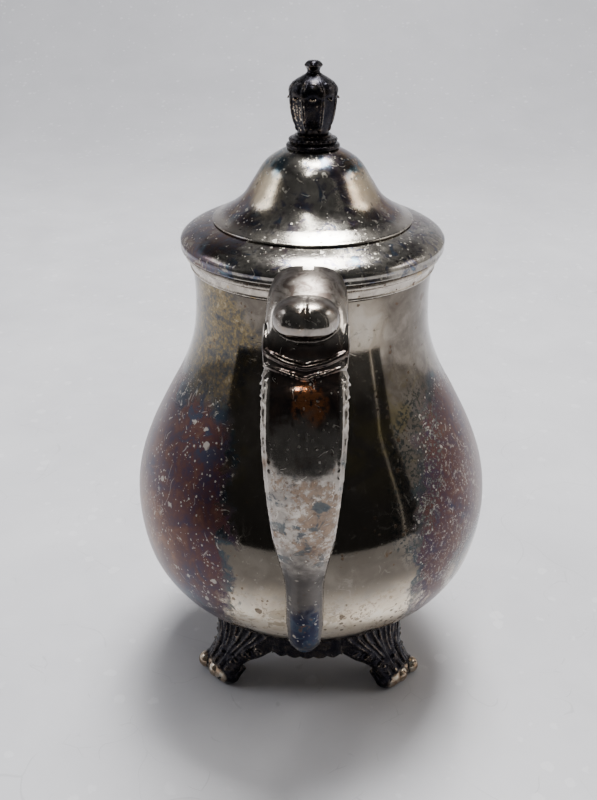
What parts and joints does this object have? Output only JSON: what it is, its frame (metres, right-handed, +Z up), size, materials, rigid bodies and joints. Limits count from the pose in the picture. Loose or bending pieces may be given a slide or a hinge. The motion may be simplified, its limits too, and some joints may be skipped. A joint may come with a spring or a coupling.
{
  "type": "silver coffee pot",
  "caption": "Pear-shaped footed coffee pot with a hollow scroll handle, swan-neck spout and a hinged bell-shaped lid with a bud finial, for serving hot drinks.",
  "frame": {"origin": "pot's axis at the surface that the feet stand on", "axes": "+Z up along the pot's axis, +Y from the handle to the spout, +X to the right seen from the handle's side"},
  "size_m": [0.137, 0.1866, 0.241],
  "materials": {
    "worn_silver": "polished silver plate, tarnished and worn",
    "oxidised_cast_silver": "cast, oxidised dark with bright worn high points",
    "hinge_metal": "satin silver plate",
    "fastener_brass": "bare turned brass"
  },
  "bodies": {
    "pot": {"body_shell": "worn_silver", "rim_band": "worn_silver", "spout": "worn_silver", "handle_left_half": "worn_silver", "handle_right_half": "worn_silver", "foot_handle_left": "oxidised_cast_silver", "foot_handle_right": "oxidised_cast_silver", "foot_spout_left": "oxidised_cast_silver", "foot_spout_right": "oxidised_cast_silver", "apron_handle_side": "oxidised_cast_silver", "apron_spout_side": "oxidised_cast_silver", "apron_left": "oxidised_cast_silver", "apron_right": "oxidised_cast_silver", "hinge_knuckle_left": "hinge_metal", "hinge_knuckle_right": "hinge_metal", "hinge_pin": "hinge_metal"},
    "lid": {"lid_shell": "worn_silver", "lid_bezel": "worn_silver", "lid_hinge_lug": "hinge_metal", "finial_collar": "oxidised_cast_silver", "finial_bud": "oxidised_cast_silver", "finial_stud": "fastener_brass", "finial_washer": "fastener_brass", "finial_nut": "fastener_brass"}
  },
  "joints": [
    {"name": "lid_hinge", "type": "hinge", "parent": "pot", "child": "lid", "pos_m": [0, -0.0505, 0.1845], "axis": [1, 0, 0], "range_deg": [0, 100]}
  ]
}
